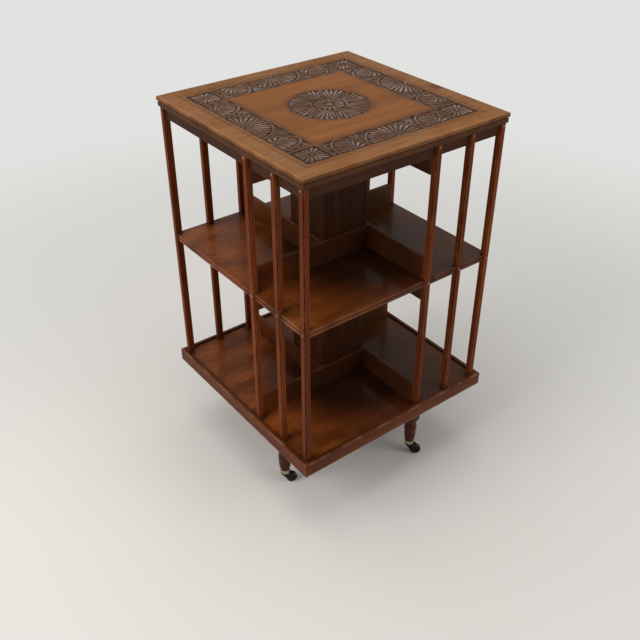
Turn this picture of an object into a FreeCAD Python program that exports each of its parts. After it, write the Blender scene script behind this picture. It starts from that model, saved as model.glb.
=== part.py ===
import FreeCAD, Part
import math
import os
import Sketcher

# Revolving bookcase on a castor stand, in millimetres.
# The origin is on the floor under the post, +Z is up and the front of the case faces -Y.
# The case has four like sides: a piece that repeats is drawn once for the front side and
# then turned by quarter turns about the post for the right, back and left sides.

SIDES = ("front", "right", "back", "left")
OUT = "parts"

# Driving dimensions. Each is an alias of one cell in the sheet.
DIMENSIONS = {
    # heights of the whole
    "total_height": 812,
    "ground_gap": 164,
    "lower_tier": 301,
    # top board and its moulded edge
    "top_side": 480,
    "top_thick": 20,
    "nosing_high": 9,
    "nosing_round": 4,
    "quirk_high": 1.5,
    "quirk_deep": 3.5,
    "band_set_back": 1.5,
    # low carving in the top: a border of sunk panels and a round medallion
    "carving_margin": 41,
    "border_wide": 59,
    "panel_rim": 2.5,
    "carving_deep": 2.2,
    "carving_low": 0.8,
    "medallion_wide": 156,
    # slats, on the outside of the case
    "top_overhang": 3,
    "slat_wide": 14.5,
    "slat_thick": 11,
    "slat_rebate": 2,
    "corner_slat_inset": 1,
    "quarter_slat_place": 88,
    "middle_slat_past": 9,
    # frieze rails under the top
    "frieze_high": 23,
    "frieze_thick": 14,
    "frieze_set_back": 6,
    # middle shelf
    "shelf_thick": 15,
    "shelf_set_back": 3,
    "shelf_groove": 1.5,
    "shelf_hole": 50,
    # bottom board and plinth
    "bottom_thick": 16,
    "plinth_high": 35,
    "plinth_thick": 10,
    "plinth_lip": 4,
    "plinth_top_round": 3,
    "plinth_foot_round": 7,
    # hollow column round the post
    "column_side": 111,
    "column_board": 12,
    # low dividers on the boards and strips under them
    "divider_thick": 6.5,
    "divider_high": 50,
    "top_strip_high": 60,
    "shelf_strip_high": 33,
    # round-headed pins through the slats
    "pin_shank": 2,
    "pin_head": 5,
    "pin_head_high": 1.8,
    "pin_head_round": 1.5,
    "pin_bite": 7,
    "pin_drop": 5,
    # post, pivot and guide
    "post_wide": 40,
    "post_tenon": 26,
    "post_gap": 4,
    "pivot_wide": 16,
    "pivot_seat": 40,
    "pivot_end_gap": 9,
    "pivot_chamfer": 1,
    "pivot_plate_wide": 70,
    "pivot_plate_thick": 5,
    "pivot_boss_wide": 34,
    "pivot_boss_high": 20,
    "pivot_play": 0.05,
    "guide_wide": 56,
    "guide_flange_wide": 72,
    "guide_flange_thick": 3,
    "guide_play": 0.08,
    "screw_circle": 52,
    "screw_shank": 4,
    "screw_head": 8,
    "screw_head_high": 2,
    "screw_bite": 12,
    # crossed arms of the stand
    "stand_turn": -64,
    "arm_past_foot": 18,
    "arm_wide": 44,
    "arm_deep": 38,
    "arm_gap": 8,
    "arm_end_round": 14,
    "arm_edge_chamfer": 3,
    # turned feet, from the arm down to the castor cup
    "foot_reach": 214,
    "foot_head": 38,
    "foot_head_high": 8,
    "foot_flare_high": 20,
    "foot_neck": 26,
    "foot_neck_high": 14,
    "foot_belly": 28,
    "foot_belly_high": 12,
    "foot_stem": 24,
    "foot_ring_out": 1.4,
    "foot_ring_high": 4.5,
    "foot_ring_round": 1.3,
    "foot_ring_gap": 6,
    "foot_ankle": 21,
    "foot_tenon": 18,
    "foot_tenon_high": 25,
    # castors
    "wheel_wide": 25,
    "wheel_thick": 11,
    "wheel_round": 2.5,
    "wheel_rim": 1,
    "wheel_hub": 12,
    "wheel_dish": 1.2,
    "wheel_play": 0.05,
    "axle_wide": 4,
    "axle_head": 6.5,
    "axle_head_high": 1.2,
    "castor_trail": 15,
    "wheel_gap": 3,
    "fork_gap": 0.6,
    "fork_cheek": 2,
    "fork_crown": 20,
    "fork_crown_high": 4,
    "fork_set_in": 3,
    "fork_nose": 6,
    "fork_corner_round": 3,
    "castor_stem": 8,
    "castor_stem_long": 26,
    "stem_play": 0.05,
    "stem_end_gap": 0.5,
    "cup_wall": 1.5,
    "cup_high": 9,
    "cup_floor": 2,
    "sleeve_wide": 12,
    # how each castor is turned at rest
    "castor_turn_front": -40,
    "castor_turn_right": 75,
    "castor_turn_back": 170,
    "castor_turn_left": -20,
}


class Size:
    """A length: its value, and the sheet expression that gives it."""

    def __init__(self, value, text):
        self.value = value
        self.text = text

    def join(self, sign, other, value):
        return Size(value, f"({self.text} {sign} {other.text})")

    def __add__(self, other):
        other = as_size(other)
        return self.join("+", other, self.value + other.value)

    def __sub__(self, other):
        other = as_size(other)
        return self.join("-", other, self.value - other.value)

    def __mul__(self, other):
        other = as_size(other)
        return self.join("*", other, self.value * other.value)

    def __truediv__(self, other):
        other = as_size(other)
        return self.join("/", other, self.value / other.value)

    def __neg__(self):
        return Size(-self.value, f"(0 - {self.text})")


def as_size(thing):
    return thing if isinstance(thing, Size) else Size(thing, repr(thing))


doc = FreeCAD.newDocument("revolving_bookcase")
sheet = doc.addObject("Spreadsheet::Sheet", "Sizes")
for row, (alias, number) in enumerate(DIMENSIONS.items(), 1):
    sheet.set(f"A{row}", str(number))
    sheet.setAlias(f"A{row}", alias)
doc.recompute()
S = {alias: Size(number, f"Sizes.{alias}") for alias, number in DIMENSIONS.items()}

ZERO = Size(0, "0")

# Places worked out from the driving dimensions.
top_half = S["top_side"] / 2
case_half = top_half - S["top_overhang"]
slat_in = case_half - S["slat_thick"]
slat_half = S["slat_wide"] / 2
frieze_out = case_half - S["frieze_set_back"]
frieze_in = frieze_out - S["frieze_thick"]
shelf_half = case_half - S["shelf_set_back"]
plinth_out = case_half + S["plinth_thick"]
column_half = S["column_side"] / 2
divider_out = column_half + S["divider_thick"]

top_under = S["total_height"] - S["top_thick"]
frieze_under = top_under - S["frieze_high"]
board_top = S["ground_gap"] + S["plinth_high"] - S["plinth_lip"]
board_under = board_top - S["bottom_thick"]
shelf_under = board_top + S["lower_tier"]
shelf_middle = shelf_under + S["shelf_thick"] / 2
shelf_top = shelf_under + S["shelf_thick"]
pin_top = top_under - S["pin_drop"]

# Middles of the three slats of a side, measured from the post along the side. The middle one
# stands against a divider, just past the column's face.
SLAT_PLACES = {
    "corner": case_half - S["corner_slat_inset"] - slat_half,
    "quarter": case_half - S["quarter_slat_place"],
    "middle": column_half + S["middle_slat_past"],
}

border_in = top_half - S["carving_margin"] - S["border_wide"]
panel_out = top_half - S["carving_margin"] - S["panel_rim"]
panel_in = border_in + S["panel_rim"]
panel_half = border_in - S["panel_rim"]
panel_deep = panel_out - panel_in
carving_floor = S["total_height"] - S["carving_deep"]

# Shares of a side panel's half length: where a shell stands, and its half width.
# The last number is its height as a share of the panel's.
WIDE_SHELL = (0, 0.41, 0.95)
SMALL_SHELLS = ((-0.705, 0.2, 0.9), (0.705, 0.2, 0.9))
ROSETTE_SHARE = 0.92
# A medallion petal: how far out and how wide each pair of its corners is, in shares of the radius.
PETAL = ((0.50, 0.14), (0.80, 0.28), (0.97, 0.15))
MEDALLION_CENTRE_SHARE = 0.44
MEDALLION_BOSS_SHARE = 0.12

arm_top = S["ground_gap"] - S["arm_gap"]
arm_under = arm_top - S["arm_deep"]
arm_middle = arm_top - S["arm_deep"] / 2
arm_reach = S["foot_reach"] + S["arm_past_foot"]
pivot_end = top_under - S["pivot_end_gap"]
boss_under = top_under - S["pivot_plate_thick"] - S["pivot_boss_high"]
post_top = boss_under - S["post_gap"]

axle_high = S["wheel_wide"] / 2
crown_under = S["wheel_wide"] + S["wheel_gap"]
crown_top = crown_under + S["fork_crown_high"]
cup_top = crown_top + S["cup_high"]
foot_under = crown_top + S["cup_floor"]
sleeve_top = crown_top + S["castor_stem_long"]
slot_half = S["wheel_thick"] / 2 + S["fork_gap"]
cheek_half = slot_half + S["fork_cheek"]

# How close two numbers are when they count as the same place.
CLOSE = 1e-4

subparts = []


def new_body(label):
    body = doc.addObject("PartDesign::Body", label)
    body.Label = label
    body.AllowCompound = True
    subparts.append(body)
    return body


def origin_of(body, role):
    for feature in body.Origin.OriginFeatures:
        if feature.Role == role:
            return feature
    raise ValueError(f"no {role} in {body.Label}")


def bind(thing, prop, size):
    thing.setExpression(prop, as_size(size).text)


def new_sketch(body, plane="XY_Plane", offset=ZERO):
    sketch = body.newObject("Sketcher::SketchObject", "Sketch")
    sketch.AttachmentSupport = (origin_of(body, plane), [""])
    sketch.MapMode = "FlatFace"
    bind(sketch, "AttachmentOffset.Base.z", offset)
    return sketch


def hold(sketch, kind, geometry, point, size):
    """Hold a point at a signed distance from the sketch's origin."""
    number = sketch.addConstraint(Sketcher.Constraint(kind, -1, 1, geometry, point, float(size.value)))
    bind(sketch, f"Constraints[{number}]", size)


def outline(sketch, points):
    """A closed outline of straight lines, each corner held by its two distances."""
    points = [(as_size(x), as_size(y)) for x, y in points]
    first = sketch.GeometryCount
    count = len(points)
    for here in range(count):
        ends = [FreeCAD.Vector(x.value, y.value, 0) for x, y in (points[here], points[(here + 1) % count])]
        sketch.addGeometry(Part.LineSegment(*ends))
    for here in range(count):
        after = (here + 1) % count
        sketch.addConstraint(Sketcher.Constraint("Coincident", first + here, 2, first + after, 1))
    for here, (x, y) in enumerate(points):
        hold(sketch, "DistanceX", first + here, 1, x)
        hold(sketch, "DistanceY", first + here, 1, y)


def rectangle(sketch, low, high):
    outline(sketch, [(low[0], low[1]), (high[0], low[1]), (high[0], high[1]), (low[0], high[1])])


def square(sketch, half):
    rectangle(sketch, (-half, -half), (half, half))


def circle(sketch, x, y, diameter):
    x, y, diameter = as_size(x), as_size(y), as_size(diameter)
    centre = FreeCAD.Vector(x.value, y.value, 0)
    number = sketch.addGeometry(Part.Circle(centre, FreeCAD.Vector(0, 0, 1), diameter.value / 2))
    hold(sketch, "DistanceX", number, 3, x)
    hold(sketch, "DistanceY", number, 3, y)
    across = sketch.addConstraint(Sketcher.Constraint("Diameter", number, float(diameter.value)))
    bind(sketch, f"Constraints[{across}]", diameter)


def settle(feature):
    """Work a feature out and stop if it failed."""
    doc.recompute()
    if "Invalid" in feature.State or "Error" in feature.State or feature.Shape.isNull():
        raise ValueError(f"{feature.Label} of {feature.getParentGeoFeatureGroup().Label} failed")
    return feature


def pad(body, sketch, length, middle=False, backwards=False):
    feature = body.newObject("PartDesign::Pad", "Pad")
    feature.Profile = sketch
    feature.Midplane = middle
    feature.Reversed = backwards
    bind(feature, "Length", length)
    return settle(feature)


def pocket(body, sketch, depth=None, middle=False, backwards=False):
    """Cut a sketch out of the body, to a depth or right through, and see that it cut."""
    before = body.Tip.Shape.Volume
    feature = body.newObject("PartDesign::Pocket", "Pocket")
    feature.Profile = sketch
    feature.Midplane = middle
    feature.Reversed = backwards
    if depth is None:
        feature.Type = "ThroughAll"
    else:
        bind(feature, "Length", depth)
    settle(feature)
    if feature.Shape.Volume >= before:
        raise ValueError(f"a pocket of {body.Label} cuts nothing")
    return feature


def revolve(body, sketch):
    """Turn a sketch of the XZ plane once round the body's Z axis."""
    feature = body.newObject("PartDesign::Revolution", "Revolution")
    feature.Profile = sketch
    feature.ReferenceAxis = (origin_of(body, "Z_Axis"), [""])
    feature.Angle = 360
    return settle(feature)


def four_sides(body, features):
    """Repeat features on all four sides of the post."""
    pattern = body.newObject("PartDesign::PolarPattern", "PolarPattern")
    pattern.Originals = features
    pattern.Axis = (origin_of(body, "Z_Axis"), [""])
    pattern.Angle = 360
    pattern.Occurrences = len(SIDES)
    body.Tip = pattern
    settle(pattern)


def edges_where(body, test):
    names = []
    for number, edge in enumerate(body.Tip.Shape.Edges, 1):
        if test(edge, edge.CenterOfMass):
            names.append(f"Edge{number}")
    if not names:
        raise ValueError(f"no such edges in {body.Label}")
    return names


def fillet(body, test, radius):
    base = (body.Tip, edges_where(body, test))
    feature = body.newObject("PartDesign::Fillet", "Fillet")
    feature.Base = base
    bind(feature, "Radius", radius)
    settle(feature)


def chamfer(body, test, size):
    base = (body.Tip, edges_where(body, test))
    feature = body.newObject("PartDesign::Chamfer", "Chamfer")
    feature.Base = base
    bind(feature, "Size", size)
    settle(feature)


def near(value, size):
    return abs(value - as_size(size).value) < CLOSE


def turn(body, side):
    """Turn a body drawn for the front of the case to another side."""
    quarter = FreeCAD.Rotation(FreeCAD.Vector(0, 0, 1), 90 * SIDES.index(side))
    body.Placement = FreeCAD.Placement(FreeCAD.Vector(0, 0, 0), quarter)


def turned(points, quarters):
    """Points of a sketch, turned by quarter turns about its origin."""
    for _ in range(quarters):
        points = [(-as_size(y), x) for x, y in points]
    return points


# Case: boards


def top_board():
    body = new_body("top_board")
    band_half = top_half - S["band_set_back"]
    band_top = S["total_height"] - S["nosing_high"] - S["quirk_high"]
    band = new_sketch(body, offset=top_under)
    square(band, band_half)
    pad(body, band, band_top - top_under)
    quirk = new_sketch(body, offset=band_top)
    square(quirk, band_half - S["quirk_deep"])
    pad(body, quirk, S["quirk_high"])
    nosing = new_sketch(body, offset=S["total_height"] - S["nosing_high"])
    square(nosing, top_half)
    pad(body, nosing, S["nosing_high"])
    fillet(body, lambda edge, middle: on_rim(middle, top_half), S["nosing_round"])
    sink_medallion(body)
    carving = carve_quarter(body)
    screws = new_sketch(body, offset=top_under)
    circle(screws, S["screw_circle"] / 2, ZERO, S["screw_shank"])
    hole = pocket(body, screws, S["screw_bite"], backwards=True)
    four_sides(body, carving + [hole])


def sink_medallion(body):
    """The round medallion's sunk floor, with a raised centre and a boss on it."""
    across = S["medallion_wide"]
    floor = new_sketch(body, offset=S["total_height"])
    circle(floor, ZERO, ZERO, across)
    pocket(body, floor, S["carving_deep"])
    centre = new_sketch(body, offset=carving_floor)
    circle(centre, ZERO, ZERO, across * MEDALLION_CENTRE_SHARE)
    pad(body, centre, S["carving_deep"] - S["carving_low"])
    boss = new_sketch(body, offset=carving_floor)
    circle(boss, ZERO, ZERO, across * MEDALLION_BOSS_SHARE)
    pad(body, boss, S["carving_deep"])


def carve_quarter(body):
    """The border's front panel and one corner panel, sunk, and what stands on the sunk floor."""
    panels = new_sketch(body, offset=S["total_height"])
    rectangle(panels, (-panel_half, -panel_out), (panel_half, -panel_in))
    rectangle(panels, (-panel_out, -panel_out), (-panel_in, -panel_in))
    sunk = pocket(body, panels, S["carving_deep"])
    forms = new_sketch(body, offset=carving_floor)
    outline(forms, shell(*WIDE_SHELL, 7))
    for small in SMALL_SHELLS:
        outline(forms, shell(*small, 5))
    corner = (panel_out + panel_in) / 2
    circle(forms, -corner, -corner, panel_deep * ROSETTE_SHARE)
    outline(forms, petal(0))
    outline(forms, petal(45))
    return [sunk, pad(body, forms, S["carving_deep"] - S["carving_low"])]


def shell(place, half_wide, high, facets):
    """A shell standing on the outer edge of the front panel, its round end in straight facets."""
    points = []
    for number in range(facets + 1):
        angle = math.pi * number / facets
        across = round(place + half_wide * math.cos(angle), 6)
        up = round(high * math.sin(angle), 6)
        points.append((panel_half * across, panel_deep * up - panel_out))
    return points


def petal(angle):
    """A petal of the medallion, turned from the front by an angle in degrees."""
    corners = [(wide, -out) for out, wide in PETAL] + [(-wide, -out) for out, wide in reversed(PETAL)]
    along, aside = math.cos(math.radians(angle)), math.sin(math.radians(angle))
    radius = S["medallion_wide"] / 2
    return [(radius * round(x * along - y * aside, 6), radius * round(x * aside + y * along, 6))
            for x, y in corners]


def on_rim(middle, half):
    """Whether an edge's middle lies on the level edges of a square of this half side."""
    return near(max(abs(middle.x), abs(middle.y)), half) and near(min(abs(middle.x), abs(middle.y)), 0)


def shelf_outline(edge):
    """The middle shelf's outline: a square with this half side, notched for the slats."""
    front = [(-slat_in, -edge)]
    for place in (SLAT_PLACES["middle"], SLAT_PLACES["quarter"]):
        low, high = place - slat_half, place + slat_half
        front += [(low, -edge), (low, -slat_in), (high, -slat_in), (high, -edge)]
    low = SLAT_PLACES["corner"] - slat_half
    front += [(low, -edge), (low, -slat_in)]
    return front + turned(front, 1) + turned(front, 2) + turned(front, 3)


def mid_shelf():
    body = new_body("mid_shelf")
    groove_under = shelf_middle - S["shelf_groove"] / 2
    groove_top = shelf_middle + S["shelf_groove"] / 2
    layers = (
        (shelf_under, groove_under, shelf_half),
        (groove_under, groove_top, shelf_half - S["shelf_groove"]),
        (groove_top, shelf_top, shelf_half),
    )
    for low, high, edge in layers:
        layer = new_sketch(body, offset=low)
        outline(layer, shelf_outline(edge))
        circle(layer, ZERO, ZERO, S["shelf_hole"])
        pad(body, layer, high - low)
    pins = new_sketch(body, "XZ_Plane", slat_in)
    for place in SLAT_PLACES.values():
        circle(pins, place, shelf_middle, S["pin_shank"])
    four_sides(body, [pocket(body, pins, S["pin_bite"])])


def bottom_board():
    body = new_body("bottom_board")
    panel = new_sketch(body, offset=board_under)
    square(panel, case_half)
    circle(panel, ZERO, ZERO, S["guide_wide"])
    pad(body, panel, S["bottom_thick"])


# Case: rails and slats


def frieze_rail(side):
    """A rail under the top, mitred at its ends and notched where slats stand against it."""
    body = new_body(f"frieze_rail_{side}")
    points = [(-slat_in, -frieze_out)]
    for place in (SLAT_PLACES["middle"], SLAT_PLACES["quarter"]):
        low, high = place - slat_half, place + slat_half
        points += [(low, -frieze_out), (low, -slat_in), (high, -slat_in), (high, -frieze_out)]
    low = SLAT_PLACES["corner"] - slat_half
    points += [(low, -frieze_out), (low, -slat_in), (slat_in, -slat_in)]
    points += [(frieze_in, -frieze_in), (-frieze_in, -frieze_in), (-slat_in, -slat_in)]
    plan = new_sketch(body, offset=frieze_under)
    outline(plan, points)
    pad(body, plan, S["frieze_high"])
    own_pins = new_sketch(body, "XZ_Plane", slat_in)
    circle(own_pins, SLAT_PLACES["middle"], pin_top, S["pin_shank"])
    circle(own_pins, SLAT_PLACES["quarter"], pin_top, S["pin_shank"])
    pocket(body, own_pins, S["pin_bite"])
    end_pin = new_sketch(body, "YZ_Plane", -slat_in)
    circle(end_pin, -SLAT_PLACES["corner"], pin_top, S["pin_shank"])
    pocket(body, end_pin, S["pin_bite"], backwards=True)
    turn(body, side)


def plinth_rail(side):
    body = new_body(f"plinth_rail_{side}")
    plan = new_sketch(body, offset=S["ground_gap"])
    outline(plan, [(-plinth_out, -plinth_out), (plinth_out, -plinth_out),
                   (case_half, -case_half), (-case_half, -case_half)])
    pad(body, plan, S["plinth_high"])
    low, high = S["ground_gap"], S["ground_gap"] + S["plinth_high"]
    fillet(body, lambda edge, middle: near(middle.y, -plinth_out) and near(middle.z, high),
           S["plinth_top_round"])
    fillet(body, lambda edge, middle: near(middle.y, -plinth_out) and near(middle.z, low),
           S["plinth_foot_round"])
    turn(body, side)


def slat(side, name):
    """An upright slat with a small rebate down each outer arris."""
    body = new_body(f"slat_{side}_{name}")
    place = SLAT_PLACES[name]
    low, high, step = place - slat_half, place + slat_half, S["slat_rebate"]
    plan = new_sketch(body, offset=board_top)
    outline(plan, [(low, -slat_in), (low, step - case_half), (low + step, step - case_half),
                   (low + step, -case_half), (high - step, -case_half),
                   (high - step, step - case_half), (high, step - case_half), (high, -slat_in)])
    pad(body, plan, top_under - board_top)
    pins = new_sketch(body, "XZ_Plane", slat_in)
    for height in (shelf_middle, pin_top):
        circle(pins, place, height, S["pin_shank"])
    pocket(body, pins, backwards=True)
    turn(body, side)


def slat_pins():
    """The round-headed pins of all the slats, two to a slat."""
    body = new_body("slat_pins")
    shanks = new_sketch(body, "XZ_Plane", case_half)
    heads = new_sketch(body, "XZ_Plane", case_half)
    for place in SLAT_PLACES.values():
        for height in (shelf_middle, pin_top):
            circle(shanks, place, height, S["pin_shank"])
            circle(heads, place, height, S["pin_head"])
    shank = pad(body, shanks, S["slat_thick"] + S["pin_bite"], backwards=True)
    head = pad(body, heads, S["pin_head_high"])
    four_sides(body, [shank, head])
    crown = case_half + S["pin_head_high"]
    fillet(body, lambda edge, middle: near(max(abs(middle.x), abs(middle.y)), crown), S["pin_head_round"])


# Case: column, dividers and strips


def column_board(side, tier, low, high):
    body = new_body(f"column_{tier}_{side}")
    plan = new_sketch(body, offset=low)
    inner = column_half - S["column_board"]
    rectangle(plan, (-column_half, -column_half), (inner, -inner))
    pad(body, plan, high - low)
    turn(body, side)


def four_runs(label, runs):
    """Four like boards past the column, each from a middle slat to the next board's face.

    Each run gives how far out the board reaches between two heights.
    """
    bodies = []
    for side in SIDES:
        body = doc.addObject("PartDesign::Body", f"{label}_{side}")
        for outer_end, low, high in runs:
            plan = new_sketch(body, offset=low)
            rectangle(plan, (-outer_end, -divider_out), (column_half, -column_half))
            pad(body, plan, high - low)
        turn(body, side)
        bodies.append(body)
    group = doc.addObject("Part::Compound", label)
    group.Links = bodies
    subparts.append(group)


def dividers_and_strips():
    four_runs("shelf_dividers", [(slat_in, shelf_top, shelf_top + S["divider_high"])])
    four_runs("base_dividers", [(slat_in, board_top, board_top + S["divider_high"])])
    four_runs("shelf_strips", [(slat_in, shelf_under - S["shelf_strip_high"], shelf_under)])
    # the strips under the top board end against the frieze and, below it, the slats
    strip_under = top_under - S["top_strip_high"]
    four_runs("top_strips", [(slat_in, strip_under, frieze_under), (frieze_in, frieze_under, top_under)])


# Case: bearings


def pivot_plate():
    """Plate under the top board whose blind boss turns on the post's pin."""
    body = new_body("pivot_plate")
    bore = S["pivot_wide"] / 2 + S["pivot_play"]
    plate, boss = S["pivot_plate_wide"] / 2, S["pivot_boss_wide"] / 2
    plate_under = top_under - S["pivot_plate_thick"]
    section = new_sketch(body, "XZ_Plane")
    outline(section, [(bore, boss_under), (boss, boss_under), (boss, plate_under),
                      (plate, plate_under), (plate, top_under), (ZERO, top_under),
                      (ZERO, pivot_end), (bore, pivot_end)])
    revolve(body, section)
    holes = new_sketch(body, offset=plate_under)
    circle(holes, S["screw_circle"] / 2, ZERO, S["screw_shank"])
    four_sides(body, [pocket(body, holes, S["pivot_plate_thick"], backwards=True)])


def pivot_screws():
    body = new_body("pivot_screws")
    plate_under = top_under - S["pivot_plate_thick"]
    shanks = new_sketch(body, offset=plate_under)
    circle(shanks, S["screw_circle"] / 2, ZERO, S["screw_shank"])
    shank = pad(body, shanks, S["pivot_plate_thick"] + S["screw_bite"])
    heads = new_sketch(body, offset=plate_under - S["screw_head_high"])
    circle(heads, S["screw_circle"] / 2, ZERO, S["screw_head"])
    head = pad(body, heads, S["screw_head_high"])
    four_sides(body, [shank, head])


def guide_bush():
    """Flanged ring in the bottom board that runs round the foot of the post."""
    body = new_body("guide_bush")
    bore = S["post_wide"] / 2 + S["guide_play"]
    flange_under = board_under - S["guide_flange_thick"]
    section = new_sketch(body, "XZ_Plane")
    outline(section, [(bore, flange_under), (S["guide_flange_wide"] / 2, flange_under),
                      (S["guide_flange_wide"] / 2, board_under), (S["guide_wide"] / 2, board_under),
                      (S["guide_wide"] / 2, board_top), (bore, board_top)])
    revolve(body, section)


# Stand


def place_on_stand(body):
    angle = FreeCAD.Rotation(FreeCAD.Vector(0, 0, 1), DIMENSIONS["stand_turn"])
    body.Placement = FreeCAD.Placement(FreeCAD.Vector(0, 0, 0), angle)


def cross_arm(label, along_x):
    """One of two crossed arms, halved into the other at the middle."""
    body = new_body(label)
    half = S["arm_wide"] / 2
    corner = (arm_reach, half) if along_x else (half, arm_reach)
    plan = new_sketch(body, offset=arm_under)
    rectangle(plan, (-corner[0], -corner[1]), corner)
    circle(plan, ZERO, ZERO, S["post_tenon"])
    pad(body, plan, S["arm_deep"])
    fillet(body, lambda edge, middle: near(edge.BoundBox.ZLength, S["arm_deep"])
           and near(abs(middle.x), corner[0]), S["arm_end_round"])
    lap = new_sketch(body, offset=arm_middle)
    square(lap, half)
    pocket(body, lap, S["arm_deep"] / 2, backwards=along_x)
    sockets = new_sketch(body, offset=arm_under)
    for sign in (-1, 1):
        place = S["foot_reach"] * sign
        circle(sockets, place if along_x else ZERO, ZERO if along_x else place, S["foot_tenon"])
    pocket(body, sockets, S["foot_tenon_high"], backwards=True)
    chamfer(body, lambda edge, middle: near(middle.z, arm_under)
            and near(abs(middle.y if along_x else middle.x), half), S["arm_edge_chamfer"])
    place_on_stand(body)


def post():
    body = new_body("post")
    tenon = new_sketch(body, offset=arm_under)
    circle(tenon, ZERO, ZERO, S["post_tenon"])
    pad(body, tenon, S["arm_deep"])
    shaft = new_sketch(body, offset=arm_top)
    circle(shaft, ZERO, ZERO, S["post_wide"])
    pad(body, shaft, post_top - arm_top)
    seat = new_sketch(body, offset=post_top)
    circle(seat, ZERO, ZERO, S["pivot_wide"])
    pocket(body, seat, S["pivot_seat"])


def pivot_pin():
    body = new_body("pivot_pin")
    low = post_top - S["pivot_seat"]
    section = new_sketch(body, offset=low)
    circle(section, ZERO, ZERO, S["pivot_wide"])
    pad(body, section, pivot_end - low)
    chamfer(body, lambda edge, middle: near(middle.z, pivot_end), S["pivot_chamfer"])


def foot(side):
    """A turned foot: a flared head under the arm, a belly, two rings and an ankle in the cup."""
    body = new_body(f"foot_{side}")
    head, neck, belly = S["foot_head"] / 2, S["foot_neck"] / 2, S["foot_belly"] / 2
    stem, ankle = S["foot_stem"] / 2, S["foot_ankle"] / 2
    tenon = S["foot_tenon"] / 2
    spigot = ankle - S["cup_wall"]
    flare_top = arm_under - S["foot_head_high"]
    neck_at = flare_top - S["foot_flare_high"]
    belly_at = neck_at - S["foot_neck_high"]
    upper_top = belly_at - S["foot_belly_high"]
    upper_low = upper_top - S["foot_ring_high"]
    lower_top = upper_low - S["foot_ring_gap"]
    lower_low = lower_top - S["foot_ring_high"]
    slim = ankle + (stem - ankle) / 2
    upper_ring, lower_ring = stem + S["foot_ring_out"], slim + S["foot_ring_out"]
    section = new_sketch(body, "XZ_Plane")
    outline(section, [
        (ZERO, foot_under), (spigot, foot_under), (spigot, cup_top), (ankle, cup_top),
        (slim, lower_low), (lower_ring, lower_low), (lower_ring, lower_top), (slim, lower_top),
        (stem, upper_low), (upper_ring, upper_low), (upper_ring, upper_top), (stem, upper_top),
        (belly, belly_at), (neck, neck_at), (head, flare_top), (head, arm_under),
        (tenon, arm_under), (tenon, arm_under + S["foot_tenon_high"]),
        (ZERO, arm_under + S["foot_tenon_high"])])
    revolve(body, section)
    fillet(body, lambda edge, middle: near(edge_radius(edge), upper_ring)
           or near(edge_radius(edge), lower_ring), S["foot_ring_round"])
    bore = new_sketch(body, offset=foot_under)
    circle(bore, ZERO, ZERO, S["sleeve_wide"])
    pocket(body, bore, sleeve_top + S["stem_end_gap"] - foot_under, backwards=True)
    body.Placement = foot_placement(side, DIMENSIONS["stand_turn"])


def edge_radius(edge):
    return edge.Curve.Radius if isinstance(edge.Curve, Part.Circle) else 0


def foot_placement(side, heading):
    """At a foot of the stand, turned so that local +X points along the heading in degrees."""
    up = FreeCAD.Vector(0, 0, 1)
    around = math.radians(DIMENSIONS["stand_turn"] + 90 * SIDES.index(side))
    reach = DIMENSIONS["foot_reach"]
    base = FreeCAD.Vector(reach * math.cos(around), reach * math.sin(around), 0)
    return FreeCAD.Placement(base, FreeCAD.Rotation(up, heading))


def castor_cups():
    """Metal cups on the feet, each with the sleeve in which a castor's stem turns."""
    body = new_body("castor_cups")
    centre, bore = S["foot_reach"], S["castor_stem"] + S["stem_play"] * 2
    floor = new_sketch(body, offset=crown_top)
    circle(floor, centre, ZERO, S["foot_ankle"])
    circle(floor, centre, ZERO, bore)
    wall = new_sketch(body, offset=foot_under)
    circle(wall, centre, ZERO, S["foot_ankle"])
    circle(wall, centre, ZERO, S["foot_ankle"] - S["cup_wall"] * 2)
    sleeve = new_sketch(body, offset=foot_under)
    circle(sleeve, centre, ZERO, S["sleeve_wide"])
    circle(sleeve, centre, ZERO, bore)
    rings = [pad(body, floor, S["cup_floor"]), pad(body, wall, cup_top - foot_under),
             pad(body, sleeve, sleeve_top - foot_under)]
    four_sides(body, rings)
    place_on_stand(body)


# Castors, drawn about their swivel axis with the wheel trailing along +X


def castor_placement(side):
    return foot_placement(side, DIMENSIONS[f"castor_turn_{side}"])


def castor_fork(side):
    body = new_body(f"castor_fork_{side}")
    crown_half, nose, trail = S["fork_crown"] / 2, S["fork_nose"], S["castor_trail"]
    root = crown_half - S["fork_set_in"]
    cheeks = new_sketch(body, "XZ_Plane")
    outline(cheeks, [
        (-root, crown_under), (trail - nose, axle_high - nose), (trail + nose, axle_high - nose),
        (trail + nose, axle_high + nose), (root, crown_top), (-root, crown_top)])
    pad(body, cheeks, cheek_half * 2, middle=True)
    fillet(body, lambda edge, middle: near(middle.z, axle_high - nose)
           or (near(middle.z, axle_high + nose) and near(middle.x, trail + nose)),
           S["fork_corner_round"])
    slot = new_sketch(body, "XZ_Plane")
    rectangle(slot, (-crown_half, ZERO), (trail + nose, crown_under))
    pocket(body, slot, slot_half * 2, middle=True)
    axle_hole = new_sketch(body, "XZ_Plane")
    circle(axle_hole, trail, axle_high, S["axle_wide"])
    pocket(body, axle_hole, cheek_half * 2, middle=True)
    crown = new_sketch(body, offset=crown_under)
    circle(crown, ZERO, ZERO, S["fork_crown"])
    pad(body, crown, S["fork_crown_high"])
    stem = new_sketch(body, offset=crown_top)
    circle(stem, ZERO, ZERO, S["castor_stem"])
    pad(body, stem, S["castor_stem_long"])
    body.Placement = castor_placement(side)


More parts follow.
